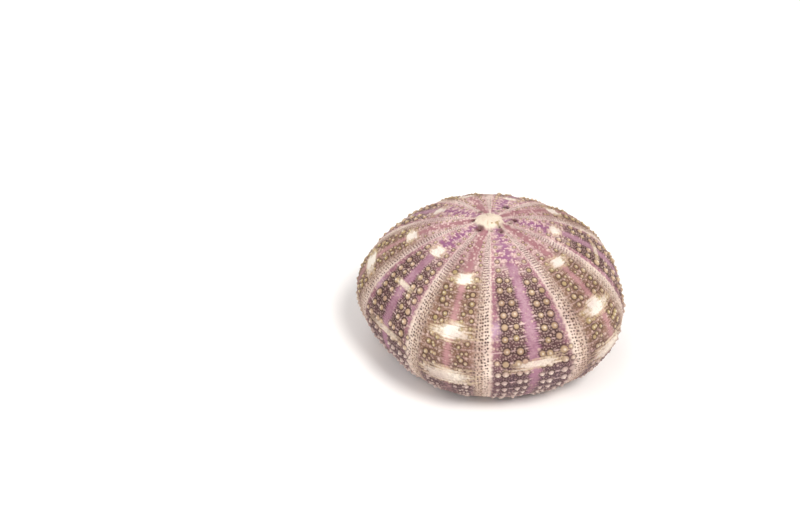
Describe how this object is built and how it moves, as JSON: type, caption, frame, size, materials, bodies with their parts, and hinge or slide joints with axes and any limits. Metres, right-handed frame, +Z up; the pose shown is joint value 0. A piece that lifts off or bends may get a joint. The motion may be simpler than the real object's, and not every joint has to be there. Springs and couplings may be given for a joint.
{
  "type": "sea urchin shell",
  "caption": "Empty, domed test of a large regular sea urchin: thin hollow wall with a sunken mouth opening underneath and beaded, five-rayed markings.",
  "frame": {"origin": "on the surface the test rests on, under the middle of its bounding box", "axes": "+Z up from the mouth side to the apex; -Y towards the side seen in the picture; one ambulacrum's centre line at -112.6 degrees from +X"},
  "size_m": [0.089, 0.0914, 0.0487],
  "materials": {
    "test_wall": "dry, chalky, slightly rough"
  },
  "bodies": {
    "root": {"sea_urchin_test": "test_wall"}
  },
  "joints": []
}
